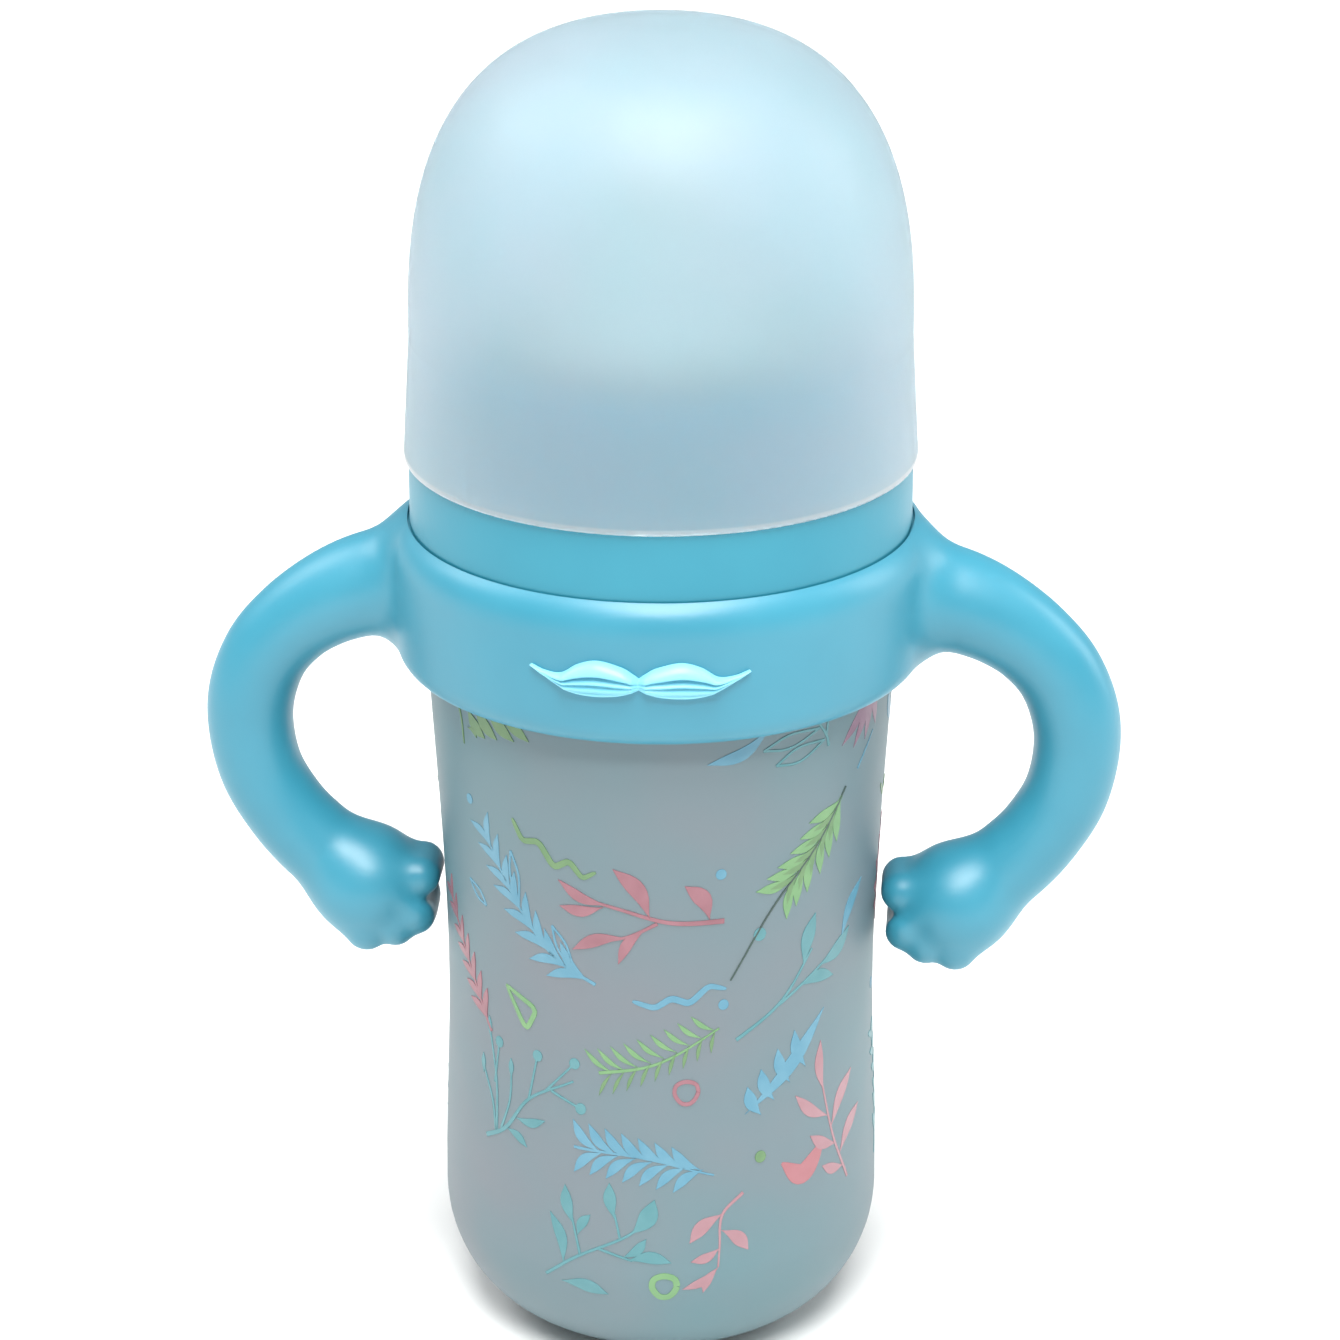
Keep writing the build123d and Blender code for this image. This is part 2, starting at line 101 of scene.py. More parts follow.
def slab(outer, inner):
    """Points and faces of a closed thin body between two grids of points of the same shape."""
    rows, columns = outer.shape[:2]
    points = np.vstack([outer.reshape(-1, 3), inner.reshape(-1, 3)])
    shift = rows * columns
    faces = []
    for i in range(rows - 1):
        for j in range(columns - 1):
            a = i * columns + j
            faces.append((a, a + 1, a + columns + 1, a + columns))
            faces.append((shift + a, shift + a + columns, shift + a + columns + 1, shift + a + 1))
    rim = list(range(columns - 1))
    rim += [i * columns + columns - 1 for i in range(rows - 1)]
    rim += [(rows - 1) * columns + j for j in range(columns - 1, 0, -1)]
    rim += [i * columns for i in range(rows - 1, 0, -1)]
    for k, a in enumerate(rim):
        b = rim[(k + 1) % len(rim)]
        faces.append((b, a, shift + a, shift + b))
    return points, faces


def smooth_line(points, step):
    """A smooth line through the points, with a point about every step."""
    knots = np.array(points, float)
    ends = np.vstack([2 * knots[0] - knots[1], knots, 2 * knots[-1] - knots[-2]])
    line = []
    for i in range(1, len(ends) - 2):
        before, start, stop, after = ends[i - 1 : i + 3]
        count = max(2, math.ceil(np.linalg.norm(stop - start) / step))
        t = (np.arange(count) / count)[:, None]
        line.append(
            0.5
            * (
                2 * start
                + (stop - before) * t
                + (2 * before - 5 * start + 4 * stop - after) * t**2
                + (3 * start - before - 3 * stop + after) * t**3
            )
        )
    return np.vstack(line + [knots[-1:]])


# ---------------------------------------------------------------- handle ring
COLLAR_RADIUS = 37.5
COLLAR_FOOT = 101.4
COLLAR_FOOT_TAPER = 0.45
COLLAR_WIDEST = 112.0
COLLAR_CROWN = 122.9  # the crown is rounded off from here, so the seat's edge comes out at 122
CROWN_ROUNDING = 6.5
FOOT_ROUNDING = 3.2
BORE_RADIUS = 33.4
LIP_BOTTOM = 118.1
LIP_TOP = 121.2
LIP_RADIUS = 31.5
SEAT_RADIUS = 35.3

# Stations along the arm's middle line: x, z and the section's radius.
ARM = [
    (34.4, 111.4, 7.5),
    (38.7, 110.8, 7.4),
    (43.0, 109.5, 7.15),
    (47.5, 107.4, 6.65),
    (52.0, 104.2, 6.25),
    (56.0, 99.6, 6.15),
    (58.4, 93.6, 6.2),
    (58.8, 87.6, 6.1),
    (57.4, 80.9, 6.0),
    (54.1, 75.0, 6.0),
    (50.6, 70.9, 6.15),
    (47.0, 67.8, 6.3),
    (43.8, 65.6, 6.4),
]
PALM_CENTRE = (42.4, 0.0, 64.0)
PALM_RADII = (8.5, 8.6, 8.1)
# Rolls of the closed hand: two ends (x, z), radius and half length along y.
THUMB = ((40.0, 66.4), (34.7, 66.2), 3.0, 2.4)
FINGERS = [
    ((38.5, 62.0), (35.5, 59.8), 3.0, 3.6),
    ((41.0, 60.6), (38.3, 57.7), 2.75, 3.9),
    ((45.0, 61.0), (42.5, 57.0), 2.95, 3.7),
]
ARM_BLEND = 5.0
PALM_BLEND = 3.0
FINGER_BLEND = 1.3
FINGER_CURL = 0.045  # per millimetre: the fingers bend up towards their two ends
ARM_STEP = 1.1
ARM_INSIDE = 12.0  # the arm isn't worked out further in than this from its first station
FAR_AWAY = 1e3  # a distance larger than any in the model
CELL = 0.62  # size of the net's cells
NET_LOW = (-67.0, -41.0, 50.0)
NET_HIGH = (67.0, 41.0, 125.0)
NEWTON_STEPS = 3
NEWTON_NUDGE = 0.02
LEAST_SLOPE = 0.05  # least squared slope, so that no flat spot throws a point far off
CUT_MARGIN = 3.0  # how far the bore's cutter reaches past the collar
HANDLE_SMOOTH_ANGLE = math.radians(38)


def smooth_max(a, b, k):
    """The larger of a and b, rounded off where they are closer than k."""
    h = np.maximum(k - np.abs(a - b), 0.0) / k
    return np.maximum(a, b) + h * h * k * 0.25


def smooth_min(a, b, k):
    """The smaller of a and b, rounded off where they are closer than k."""
    return -smooth_max(-a, -b, k)


def collar_radius_at(z):
    """Outside radius of the collar, a little smaller towards its foot."""
    drop = np.maximum(COLLAR_WIDEST - z, 0.0) / (COLLAR_WIDEST - COLLAR_FOOT)
    return COLLAR_RADIUS - COLLAR_FOOT_TAPER * drop**2


def roll_distance(x, y, z, start, stop, radius, half_length):
    """Distance to a roll that reaches along y and from start to stop in the xz plane."""
    along = (stop[0] - start[0], stop[1] - start[1])
    t = ((x - start[0]) * along[0] + (z - start[1]) * along[1]) / (along[0] ** 2 + along[1] ** 2)
    t = np.clip(t, 0.0, 1.0)
    across = (x - start[0] - t * along[0]) ** 2 + (z - start[1] - t * along[1]) ** 2
    beyond = np.maximum(np.abs(y) - half_length, 0.0)
    return np.sqrt(across + beyond**2) - radius


arm_line = smooth_line(ARM, ARM_STEP)


def handle_distance(x, y, z):
    """Rough signed distance to the handle ring's outside: negative inside, alike for x and -x."""
    x = np.abs(x)
    arm = np.full(x.shape, FAR_AWAY)
    near = x > ARM[0][0] - ARM_INSIDE
    xn, yn, zn, nearest = x[near], y[near], z[near], arm[near]
    for (x0, z0, r0), (x1, z1, r1) in zip(arm_line[:-1], arm_line[1:]):
        dx, dz = x1 - x0, z1 - z0
        t = np.clip(((xn - x0) * dx + (zn - z0) * dz) / (dx * dx + dz * dz), 0.0, 1.0)
        gap = np.sqrt((xn - x0 - t * dx) ** 2 + yn**2 + (zn - z0 - t * dz) ** 2)
        nearest = np.minimum(nearest, gap - (r0 + t * (r1 - r0)))
    arm[near] = nearest
    scaled = np.sqrt(
        ((x - PALM_CENTRE[0]) / PALM_RADII[0]) ** 2
        + (y / PALM_RADII[1]) ** 2
        + ((z - PALM_CENTRE[2]) / PALM_RADII[2]) ** 2
    )
    hand = (scaled - 1.0) * min(PALM_RADII)
    for finger in FINGERS:
        roll = roll_distance(x, y, z - FINGER_CURL * y * y, *finger)
        hand = smooth_min(hand, roll, FINGER_BLEND)
    hand = smooth_min(hand, roll_distance(x, y, z, *THUMB), FINGER_BLEND)
    limb = smooth_min(arm, hand, PALM_BLEND)
    side = np.sqrt(x * x + y * y) - collar_radius_at(z)
    collar = smooth_max(side, z - COLLAR_CROWN, CROWN_ROUNDING)
    collar = smooth_max(collar, COLLAR_FOOT - z, FOOT_ROUNDING)
    return smooth_min(collar, limb, ARM_BLEND)


def surface_net(distance, low, high, cell):
    """A quad mesh of the surface where the distance is zero, pulled onto it by Newton steps."""
    axes = [np.arange(low[i], high[i] + cell, cell) for i in range(3)]
    shape = tuple(len(a) for a in axes)
    grid = np.empty(shape)
    for i, x in enumerate(axes[0]):
        yy, zz = np.meshgrid(axes[1], axes[2], indexing="ij")
        grid[i] = distance(np.full(yy.shape, x), yy, zz)
    inside = grid < 0.0
    cells = tuple(n - 1 for n in shape)
    total = np.zeros(cells + (3,))
    count = np.zeros(cells)
    crossed = []
    for axis in range(3):
        first = [slice(None)] * 3
        second = [slice(None)] * 3
        first[axis] = slice(0, -1)
        second[axis] = slice(1, None)
        a, b = grid[tuple(first)], grid[tuple(second)]
        crossing = inside[tuple(first)] != inside[tuple(second)]
        where = np.argwhere(crossing)
        t = a[crossing] / (a[crossing] - b[crossing])
        position = where.astype(float)
        position[:, axis] += t
        u, v = [k for k in range(3) if k != axis]
        for du in (0, 1):
            for dv in (0, 1):
                owner = where.copy()
                owner[:, u] -= du
                owner[:, v] -= dv
                np.add.at(total, tuple(owner.T), position)
                np.add.at(count, tuple(owner.T), 1.0)
        corners = []
        for du, dv in ((1, 1), (0, 1), (0, 0), (1, 0)):
            owner = where.copy()
            owner[:, u] -= du
            owner[:, v] -= dv
            corners.append(owner)
        flip = inside[tuple(first)][crossing]
        if axis == 1:
            flip = ~flip
        crossed.append((corners, flip))
    used = count > 0
    number = np.full(count.shape, -1, dtype=np.int64)
    number[used] = np.arange(int(used.sum()))
    points = np.array(low) + total[used] / count[used][:, None] * cell
    quads = []
    for corners, flip in crossed:
        ring = np.stack([number[tuple(c.T)] for c in corners], axis=1)
        ring[~flip] = ring[~flip][:, ::-1]
        quads.append(ring)
    for _ in range(NEWTON_STEPS):
        here = distance(*points.T)
        nudges = NEWTON_NUDGE * np.eye(3)
        rises = [distance(*(points + n).T) - distance(*(points - n).T) for n in nudges]
        slope = np.stack(rises, axis=1) / (2 * NEWTON_NUDGE)
        step = slope * (here / np.maximum((slope**2).sum(axis=1), LEAST_SLOPE))[:, None]
        points = points - np.clip(step, -cell / 2, cell / 2)
    return points, np.vstack(quads).tolist()


def disc_stack(name, outline, turns=192):
    """A closed solid of revolution from (radius, z) points, capped flat at its two ends."""
    points = []
    for k in range(turns):
        angle = 2 * math.pi * k / turns
        points += [(r * math.cos(angle), r * math.sin(angle), z) for r, z in outline]
    size = len(outline)
    faces = []
    for k in range(turns):
        here, after = k * size, (k + 1) % turns * size
        for j in range(size - 1):
            faces.append((here + j, after + j, after + j + 1, here + j + 1))
    faces.append([k * size for k in range(turns)][::-1])
    faces.append([k * size + size - 1 for k in range(turns)])
    return mesh_object(name, points, faces)


handle_points, handle_faces = surface_net(handle_distance, NET_LOW, NET_HIGH, CELL)
handle = mesh_object("handles_soft", handle_points, handle_faces)
cutter = disc_stack(
    "bore_cutter",
    [
        (BORE_RADIUS, COLLAR_FOOT - CUT_MARGIN),
        (BORE_RADIUS, LIP_BOTTOM),
        (LIP_RADIUS, LIP_BOTTOM),
        (LIP_RADIUS, LIP_TOP),
        (SEAT_RADIUS, LIP_TOP),
        (SEAT_RADIUS, COLLAR_CROWN + CUT_MARGIN),
    ],
)
cut = handle.modifiers.new("bore", "BOOLEAN")
cut.operation = "DIFFERENCE"
cut.solver = "EXACT"
cut.object = cutter
bpy.context.view_layer.update()
cut_handle = handle.evaluated_get(bpy.context.evaluated_depsgraph_get())
cut_mesh = bpy.data.meshes.new_from_object(cut_handle)
handle.modifiers.clear()
handle.data = cut_mesh
handle.data.shade_smooth()
handle.data.set_sharp_from_angle(angle=HANDLE_SMOOTH_ANGLE)
bpy.data.objects.remove(cutter)
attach(handle, "handles")
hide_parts("handle_ring")

# ---------------------------------------------------------------- raised ornament on the collar
ORNAMENT_HEIGHT = 111.2
ORNAMENT_REACH = 14.9  # from its middle to each tip, measured round the collar
ORNAMENT_RELIEF = 1.9  # how far it stands out of the collar at most
ORNAMENT_ROOT = 0.7  # how far it reaches into the collar
ORNAMENT_TOP = [
    (0.0, 0.75),
    (0.8, 1.35),
    (2.4, 2.25),
    (5.6, 2.95),
    (8.3, 2.2),
    (10.6, 0.75),
    (12.9, 0.75),
    (ORNAMENT_REACH, 1.35),
]
ORNAMENT_BOTTOM = [
    (0.0, -0.9),
    (0.8, -1.2),
    (3.0, -1.85),
    (6.2, -2.1),
    (9.0, -1.75),
    (11.6, -0.75),
    (13.4, 0.2),
    (ORNAMENT_REACH, 1.2),
]
ORNAMENT_STEP = 0.3
FULL_HEIGHT = 2.6  # where a lobe is lower than this, its relief is lower too
LEAST_SHARE = 0.35
GROOVES = (0.56, 0.34, 0.15)  # heights across a lobe, from its lower edge
GROOVE_DEPTHS = (0.62, 0.5, 0.4)
GROOVE_WIDTH = 0.075
LOBE_MIDDLE = 6.0  # the grooves are deepest here and fade out over LOBE_REACH
LOBE_REACH = 6.2
LOBE_PLATEAU = 1.15  # above 1, so that the grooves keep their full depth near the middle
NOTCH_DEPTH = 0.35  # the dip between the two lobes
NOTCH_WIDTH = 0.7
ORNAMENT_SMOOTH_ANGLE = math.radians(60)


def edge_height(knots, across):
    """Height of an edge of the ornament, given by its knots, at each place across it."""
    line = smooth_line(knots, ORNAMENT_STEP)
    return np.interp(across, line[:, 0], line[:, 1])


def ornament_grids(columns=150, rows=36):
    """Outer and inner grids of points of the moustache, wrapped round the collar."""
    across = np.linspace(-ORNAMENT_REACH, ORNAMENT_REACH, 2 * columns + 1)
    top = edge_height(ORNAMENT_TOP, np.abs(across))
    bottom = edge_height(ORNAMENT_BOTTOM, np.abs(across))
    share = 0.5 - 0.5 * np.cos(np.linspace(0, math.pi, rows))
    outer = np.empty((rows, len(across), 3))
    inner = np.empty_like(outer)
    for i, v in enumerate(share):
        z = ORNAMENT_HEIGHT + bottom + v * (top - bottom)
        rounding = (1.0 - abs(2 * v - 1) ** 3) ** 0.5
        thickness = np.clip((top - bottom) / FULL_HEIGHT, LEAST_SHARE, 1.0)
        off_middle = np.abs(np.abs(across) - LOBE_MIDDLE)
        lobe = np.clip(LOBE_PLATEAU - off_middle / LOBE_REACH, 0.0, 1.0) ** 0.7
        dent = sum(
            depth * np.exp(-(((v - place) / GROOVE_WIDTH) ** 2))
            for place, depth in zip(GROOVES, GROOVE_DEPTHS)
        )
        notch = 1.0 - NOTCH_DEPTH * np.exp(-((across / NOTCH_WIDTH) ** 2))
        rise = ORNAMENT_RELIEF * rounding * thickness * (1.0 - lobe * dent) * notch
        angle = across / COLLAR_RADIUS
        wall = collar_radius_at(z)
        for grid, radius in ((outer, wall + rise), (inner, wall - ORNAMENT_ROOT)):
            grid[i, :, 0] = radius * np.sin(angle)
            grid[i, :, 1] = -radius * np.cos(angle)
            grid[i, :, 2] = z
    return outer, inner


ornament_points, ornament_faces = slab(*ornament_grids())
ornament = mesh_object(
    "collar_ornament", ornament_points, ornament_faces, ORNAMENT_SMOOTH_ANGLE
)
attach(ornament, "handles")

# ---------------------------------------------------------------- print on the bottle
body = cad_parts["bottle_body"]
body_tree = BVHTree.FromPolygons(
    [v.co for v in body.data.vertices], [p.vertices for p in body.data.polygons]
)
PRINT_RAISE = 0.04  # the first ink stands this far out of the wall
PRINT_STEP = 0.009  # and each later ink this much further
STROKE_STEP = 0.002  # strokes of one ink that cross lie at slightly different heights
STROKE_LEVELS = 4
PRINT_ROOT = 0.1  # how far the ink reaches into the wall
PRINT_SMOOTH_ANGLE = math.radians(50)
ROUND = 32.0  # distances round the bottle are measured at this radius
RAY_START = 0.06  # metres from the axis, outside the bottle
THINNEST_STROKE = 0.03
NARROW_LEAF = 1.2  # narrower leaves are made with fewer columns of points
LEAF_STEP = 0.9
LEAF_FULLNESS = 1.2  # above 1 the leaf is widest beyond its middle
LEAF_POINT = 1.15  # above 1 its two ends are slimmer
SPRAY_END = 0.96  # share of a spray's stem where its last pair of leaves grows
OUTLINE_WIDTH = 0.35
BEND_CUT = 0.14  # share of a zigzag's straight run that each rounding takes from its ends
ZIGZAG_STEP = 0.8
ZIGZAG_END = 0.35  # a zigzag's width at its ends, as a share of its full width
LOOP_SIDES = 10
LOOP_WOBBLE = 0.06


def wall_radius(angle, z):
    """Outside radius of the bottle at this height and angle round from the front."""
    outward = Vector((math.sin(angle), -math.cos(angle), 0.0))
    hit = body_tree.ray_cast(outward * RAY_START + Vector((0.0, 0.0, z * MM)), -outward)
    return math.hypot(hit[0].x, hit[0].y) / MM


inks = {}


def ribbon(ink, points, width, columns=3, step=1.0, smooth=True):
    """A stroke of ink along a line; width gives its full width for a share of its length."""
    line = smooth_line(points, step) if smooth else np.array(points, float)
    along = np.concatenate([[0.0], np.cumsum(np.linalg.norm(np.diff(line, axis=0), axis=1))])
    share = along / along[-1]
    direction = np.gradient(line, axis=0)
    direction /= np.linalg.norm(direction, axis=1)[:, None]
    normal = np.stack([-direction[:, 1], direction[:, 0]], axis=1)
    half = np.array([max(width(t), THINNEST_STROKE) / 2 for t in share])
    offsets = np.linspace(-1, 1, columns)
    flat = line[:, None, :] + normal[:, None, :] * half[:, None, None] * offsets[None, :, None]
    inks.setdefault(ink, []).append(flat)


def stem(ink, points, start, stop):
    """A stroke that changes evenly from one width to another."""
    ribbon(ink, points, lambda t: start + t * (stop - start))


def leaf(ink, root, tip, width, bend=0.0):
    """A pointed leaf from its root to its tip; bend curves it sideways by a share of its length."""
    root, tip = np.array(root, float), np.array(tip, float)
    side = np.array([-(tip - root)[1], (tip - root)[0]]) * bend
    middle = (root + tip) / 2 + side
    columns = 3 if width < NARROW_LEAF else 5
    length = np.linalg.norm(tip - root)
    ribbon(
        ink,
        [root, middle, tip],
        lambda t: width * math.sin(math.pi * t**LEAF_FULLNESS) ** LEAF_POINT if 0 < t < 1 else 0.0,
        columns,
        min(LEAF_STEP, length / 9),
    )


def leaf_outline(ink, root, tip, width):
    """A leaf drawn as two thin curved lines."""
    root, tip = np.array(root, float), np.array(tip, float)
    side = np.array([-(tip - root)[1], (tip - root)[0]])
    side = side / np.linalg.norm(tip - root) * width / 2
    for sign in (1, -1):
        middle = root + (tip - root) * 0.55 + side * sign
        ribbon(ink, [root, middle, tip], lambda t: OUTLINE_WIDTH, 3, 0.8)


def spray(ink, points, count, length, width, lean, start=0.15, bend=0.1, taper=0.35):
    """Leaves set along both sides of a curved stem, leaning towards its tip."""
    line = smooth_line(points, 0.5)
    stem(ink, points, 0.5, 0.25)
    for k in range(count):
        share = start + (SPRAY_END - start) * k / max(count - 1, 1)
        i = min(int(share * (len(line) - 1)), len(line) - 2)
        ahead = line[i + 1] - line[i]
        heading = math.atan2(ahead[1], ahead[0])
        size = length * (1 - taper * share)
        for sign in (1, -1):
            angle = heading + sign * lean
            tip = line[i] + size * np.array([math.cos(angle), math.sin(angle)])
            leaf(ink, line[i], tip, width * (1 - taper * share), -sign * bend)


def zigzag(ink, points, width):
    """A brush stroke with sharp bends, a little thinner at its two ends."""
    line = np.array(points, float)
    for _ in range(2):
        starts, stops = line[:-1], line[1:]
        part = BEND_CUT * (stops - starts)
        cut = np.stack([starts + part, stops - part], axis=1)
        line = np.vstack([line[:1], cut.reshape(-1, 2)[1:-1], line[-1:]])
    dense = []
    for p, q in zip(line[:-1], line[1:]):
        count = max(2, math.ceil(np.linalg.norm(q - p) / ZIGZAG_STEP))
        dense.append(np.linspace(p, q, count + 1)[:-1])
    dense = np.vstack(dense + [line[-1:]])
    ribbon(
        ink,
        dense,
        lambda t: width * (ZIGZAG_END + (1 - ZIGZAG_END) * math.sin(math.pi * t) ** 0.4),
        smooth=False,
    )


def loop(ink, centre, radius, width):
    """A slightly uneven ring."""
    turn = np.linspace(0, 2 * math.pi, LOOP_SIDES + 1)
    reach = radius * (1 + LOOP_WOBBLE * np.sin(3 * turn))
    ring = np.stack([centre[0] + reach * np.cos(turn), centre[1] + reach * np.sin(turn)], 1)
    ribbon(ink, ring, lambda t: width, 3, 0.7)


def dot(ink, centre, radius):
    """A filled round spot."""
    ribbon(
        ink,
        [(centre[0] - radius, centre[1]), (centre[0] + radius, centre[1])],
        lambda t: 2 * radius * math.sqrt(max(1 - (2 * t - 1) ** 2, 0.0)),
        5,
        radius / 5,
    )


# Places are (distance round from the front, height) in millimetres.
# Under the collar: a green frond, outlined leaves and a mauve frond.
stem("green", [(-31.5, 103), (-29.5, 99), (-29.0, 94.5)], 0.5, 0.25)
for x, z, reach, drop in (
    (-27.5, 100.5, 3.5, -3.6),
    (-25.6, 102, 4.0, -4.6),
    (-23.0, 103, 4.5, -5.0),
    (-20.5, 104, 4.5, -5.4),
):
    leaf("green", (x, z), (x + reach, z + drop), 2.1, -0.12)
leaf("green", (-27.8, 97.4), (-25.8, 96.4), 0.7, 0.2)
leaf("blue", (17.5, 101.6), (8.6, 97.2), 1.9, 0.12)
leaf_outline("teal", (25.5, 99.6), (16.5, 98.2), 2.0)
leaf_outline("teal", (26.5, 97.6), (18.5, 95.6), 2.2)
leaf_outline("teal", (26.8, 98.2), (25.6, 103.5), 1.8)
stem("teal", [(27.4, 96.4), (26.6, 98.6), (23.5, 102.5)], 0.4, 0.3)
leaf("mauve", (36.5, 102.5), (28.5, 100.2), 2.4, -0.1)
for x, z in ((30.2, 95.4), (33.0, 94.2), (36.0, 94.4), (39.2, 95.6)):
    leaf("mauve", (36.8, 102.5), (x, z), 1.7, 0.05)

# Upper band.
dot("blue", (-28.7, 86.2), 0.75)
dot("blue", (10.9, 80.4), 0.8)
dot("teal", (17.0, 70.2), 1.0)
zigzag(
    "green",
    [
        (-19.6, 86.2),
        (-18.0, 83.2),
        (-15.2, 83.8),
        (-12.9, 80.3),
        (-10.5, 81.8),
        (-8.6, 79.4),
        (-6.6, 80.6),
    ],
    0.95,
)
spray(
    "blue",
    [(-7.0, 63.2), (-13.5, 66.5), (-19.5, 73.0), (-25.0, 81.5)],
    8, 6.6, 1.5, 0.5, 0.06, 0.12, 0.2,
)
leaf_outline("blue", (-10.2, 64.6), (-13.6, 71.2), 1.6)
leaf_outline("blue", (-19.2, 73.0), (-20.3, 81.0), 1.6)
stem("pink", [(11.5, 73.2), (4.0, 73.4), (-3.0, 75.2), (-8.5, 76.4)], 0.75, 0.35)
stem("pink", [(2.0, 73.3), (-2.0, 71.2), (-6.0, 70.0)], 0.5, 0.3)
leaf("pink", (-5.0, 75.7), (-12.3, 78.6), 1.6, 0.1)
leaf("pink", (-5.6, 75.4), (-12.2, 74.6), 1.7, 0.1)
leaf("pink", (1.0, 74.0), (-4.2, 81.4), 2.5, -0.12)
leaf("pink", (9.4, 73.6), (5.8, 79.0), 2.5, -0.15)
leaf("pink", (-2.5, 71.0), (-10.4, 68.2), 1.9, -0.08)
leaf("pink", (0.4, 72.6), (-3.6, 66.8), 1.6, -0.1)
stem("dark", [(31.8, 88.8), (26.6, 82.0), (19.0, 74.0), (12.6, 63.8)], 0.32, 0.22)
spray("lime", [(31.0, 87.6), (26.4, 81.8), (21.8, 77.2)], 6, 6.4, 1.6, 0.62, 0.04, 0.06, 0.0)
spray("green", [(30.4, 86.8), (26.0, 81.3), (22.6, 78.0)], 5, 4.8, 0.9, 0.45, 0.1, 0.08, 0.0)
stem("blue", [(34.5, 90.5), (38.5, 95.0)], 0.4, 0.2)
stem("teal", [(13.6, 54.4), (21.0, 59.0), (26.4, 65.6)], 0.55, 0.35)
stem("teal", [(20.4, 58.4), (26.4, 61.4), (33.0, 64.6)], 0.45, 0.3)
leaf("teal", (24.8, 63.4), (26.8, 71.0), 2.5, 0.05)
leaf("teal", (28.0, 62.3), (35.2, 66.0), 2.4, -0.1)
leaf("teal", (24.0, 60.4), (31.4, 59.8), 2.0, 0.1)
leaf("blue", (33.0, 64.6), (38.4, 72.4), 2.2, 0.1)

# Middle band.
spray("pink", [(-26.0, 51.0), (-31.0, 58.5), (-38.0, 67.8)], 7, 5.0, 1.3, 0.6, 0.1, 0.1, 0.2)
leaf_outline("blue", (-30.2, 73.4), (-26.2, 70.6), 1.5)
zigzag("lime", [(-22.4, 59.6), (-16.6, 57.4), (-18.6, 53.6), (-22.4, 59.6)], 0.8)
zigzag(
    "blue",
    [(-1.6, 61.2), (1.6, 60.2), (4.0, 61.8), (6.6, 60.8), (9.4, 63.4), (12.0, 62.6)],
    1.0,
)
dot("blue", (11.6, 60.2), 0.8)
stem("lime", [(-6.6, 49.6), (2.0, 51.6), (11.0, 56.6)], 0.5, 0.25)
for k in range(9):
    share = k / 8
    x, z = -4.6 + 15.0 * share, 49.9 + 6.4 * share**1.3
    leaf("lime", (x, z), (x - 4.2 + 0.6 * share, z + 3.1 - 0.6 * share), 0.75, 0.08)
    leaf("green", (x, z), (x - 2.0 + 1.4 * share, z - 3.8 + 0.4 * share), 0.55, -0.05)
stem("teal", [(-27.0, 34.4), (-22.6, 37.2), (-18.0, 43.2), (-10.6, 47.6)], 0.7, 0.3)
for x, z, tip_x, tip_z in (
    (-24.6, 36.0, -26.4, 51.4),
    (-23.6, 36.8, -21.6, 46.4),
    (-24.8, 36.0, -28.0, 45.0),
):
    stem("teal", [(x, z), ((x + tip_x) / 2 + 0.7, (z + tip_z) / 2), (tip_x, tip_z)], 0.45, 0.3)
    leaf("teal", (tip_x, tip_z - 1.2), (tip_x - 0.1, tip_z + 1.9), 1.0)
for x, z, tip_x, tip_z in (
    (-25.2, 43.4, -24.2, 50.0),
    (-18.2, 43.0, -16.6, 50.2),
    (-15.4, 44.9, -10.4, 50.4),
    (-14.2, 45.4, -9.4, 43.6),
):
    stem("teal", [(x, z), (tip_x, tip_z)], 0.4, 0.3)
    dot("teal", (tip_x, tip_z), 0.85)
leaf("teal", (-20.6, 39.4), (-15.2, 40.4), 1.4, -0.1)
leaf("teal", (-22.4, 37.2), (-18.4, 35.4), 1.3, 0.1)
for k, (x, z) in enumerate(((15.6, 44.2), (17.8, 46.0), (20.6, 48.0), (23.6, 49.6))):
    leaf("blue", (x + 2.0, z - 2.2), (x - 0.2, z + 2.6 + 0.5 * k), 2.0, 0.1)
leaf("blue", (15.0, 42.6), (29.4, 55.4), 2.4, -0.04)
loop("pink", (6.2, 47.1), 1.75, 0.6)

# Lower band.
stem("rose", [(35.0, 26.5), (31.4, 34.6), (28.6, 45.6)], 0.5, 0.3)
for x, z, tip_x, tip_z, width in (
    (29.4, 42.2, 28.8, 50.4, 1.8),
    (30.4, 38.0, 23.6, 43.4, 1.9),
    (31.0, 36.0, 36.8, 43.0, 2.2),
    (32.2, 33.0, 26.4, 36.2, 1.9),
    (33.0, 31.0, 39.0, 36.6, 2.2),
    (34.0, 28.8, 28.8, 30.6, 1.7),
):
    leaf("rose", (x, z), (tip_x, tip_z), width, 0.08)
ribbon(
    "red",
    [(21.0, 33.6), (24.8, 30.9), (29.2, 34.6)],
    lambda t: 0.4 + 2.9 * math.sin(math.pi * t),
    5,
    0.7,
)
stem("blue", [(-10.4, 37.6), (0.0, 37.0), (10.2, 34.0)], 0.4, 0.25)
for k in range(7):
    share = k / 6
    x, z = -6.4 + 14.6 * share, 37.4 - 2.4 * share**1.5
    leaf("blue", (x, z), (x - 4.2, z + 4.4 - 0.6 * share), 1.5, 0.12)
    leaf("blue", (x + 0.4, z), (x - 4.0, z - 3.7 + 0.4 * share), 1.5, -0.12)
stem("teal", [(-15.0, 16.4), (-9.6, 20.6), (-2.2, 24.8), (0.4, 27.6)], 0.5, 0.35)
leaf("teal", (-1.8, 25.0), (1.6, 30.6), 2.7, -0.1)
stem("teal", [(-3.4, 24.2), (-4.2, 28.0)], 0.35, 0.3)
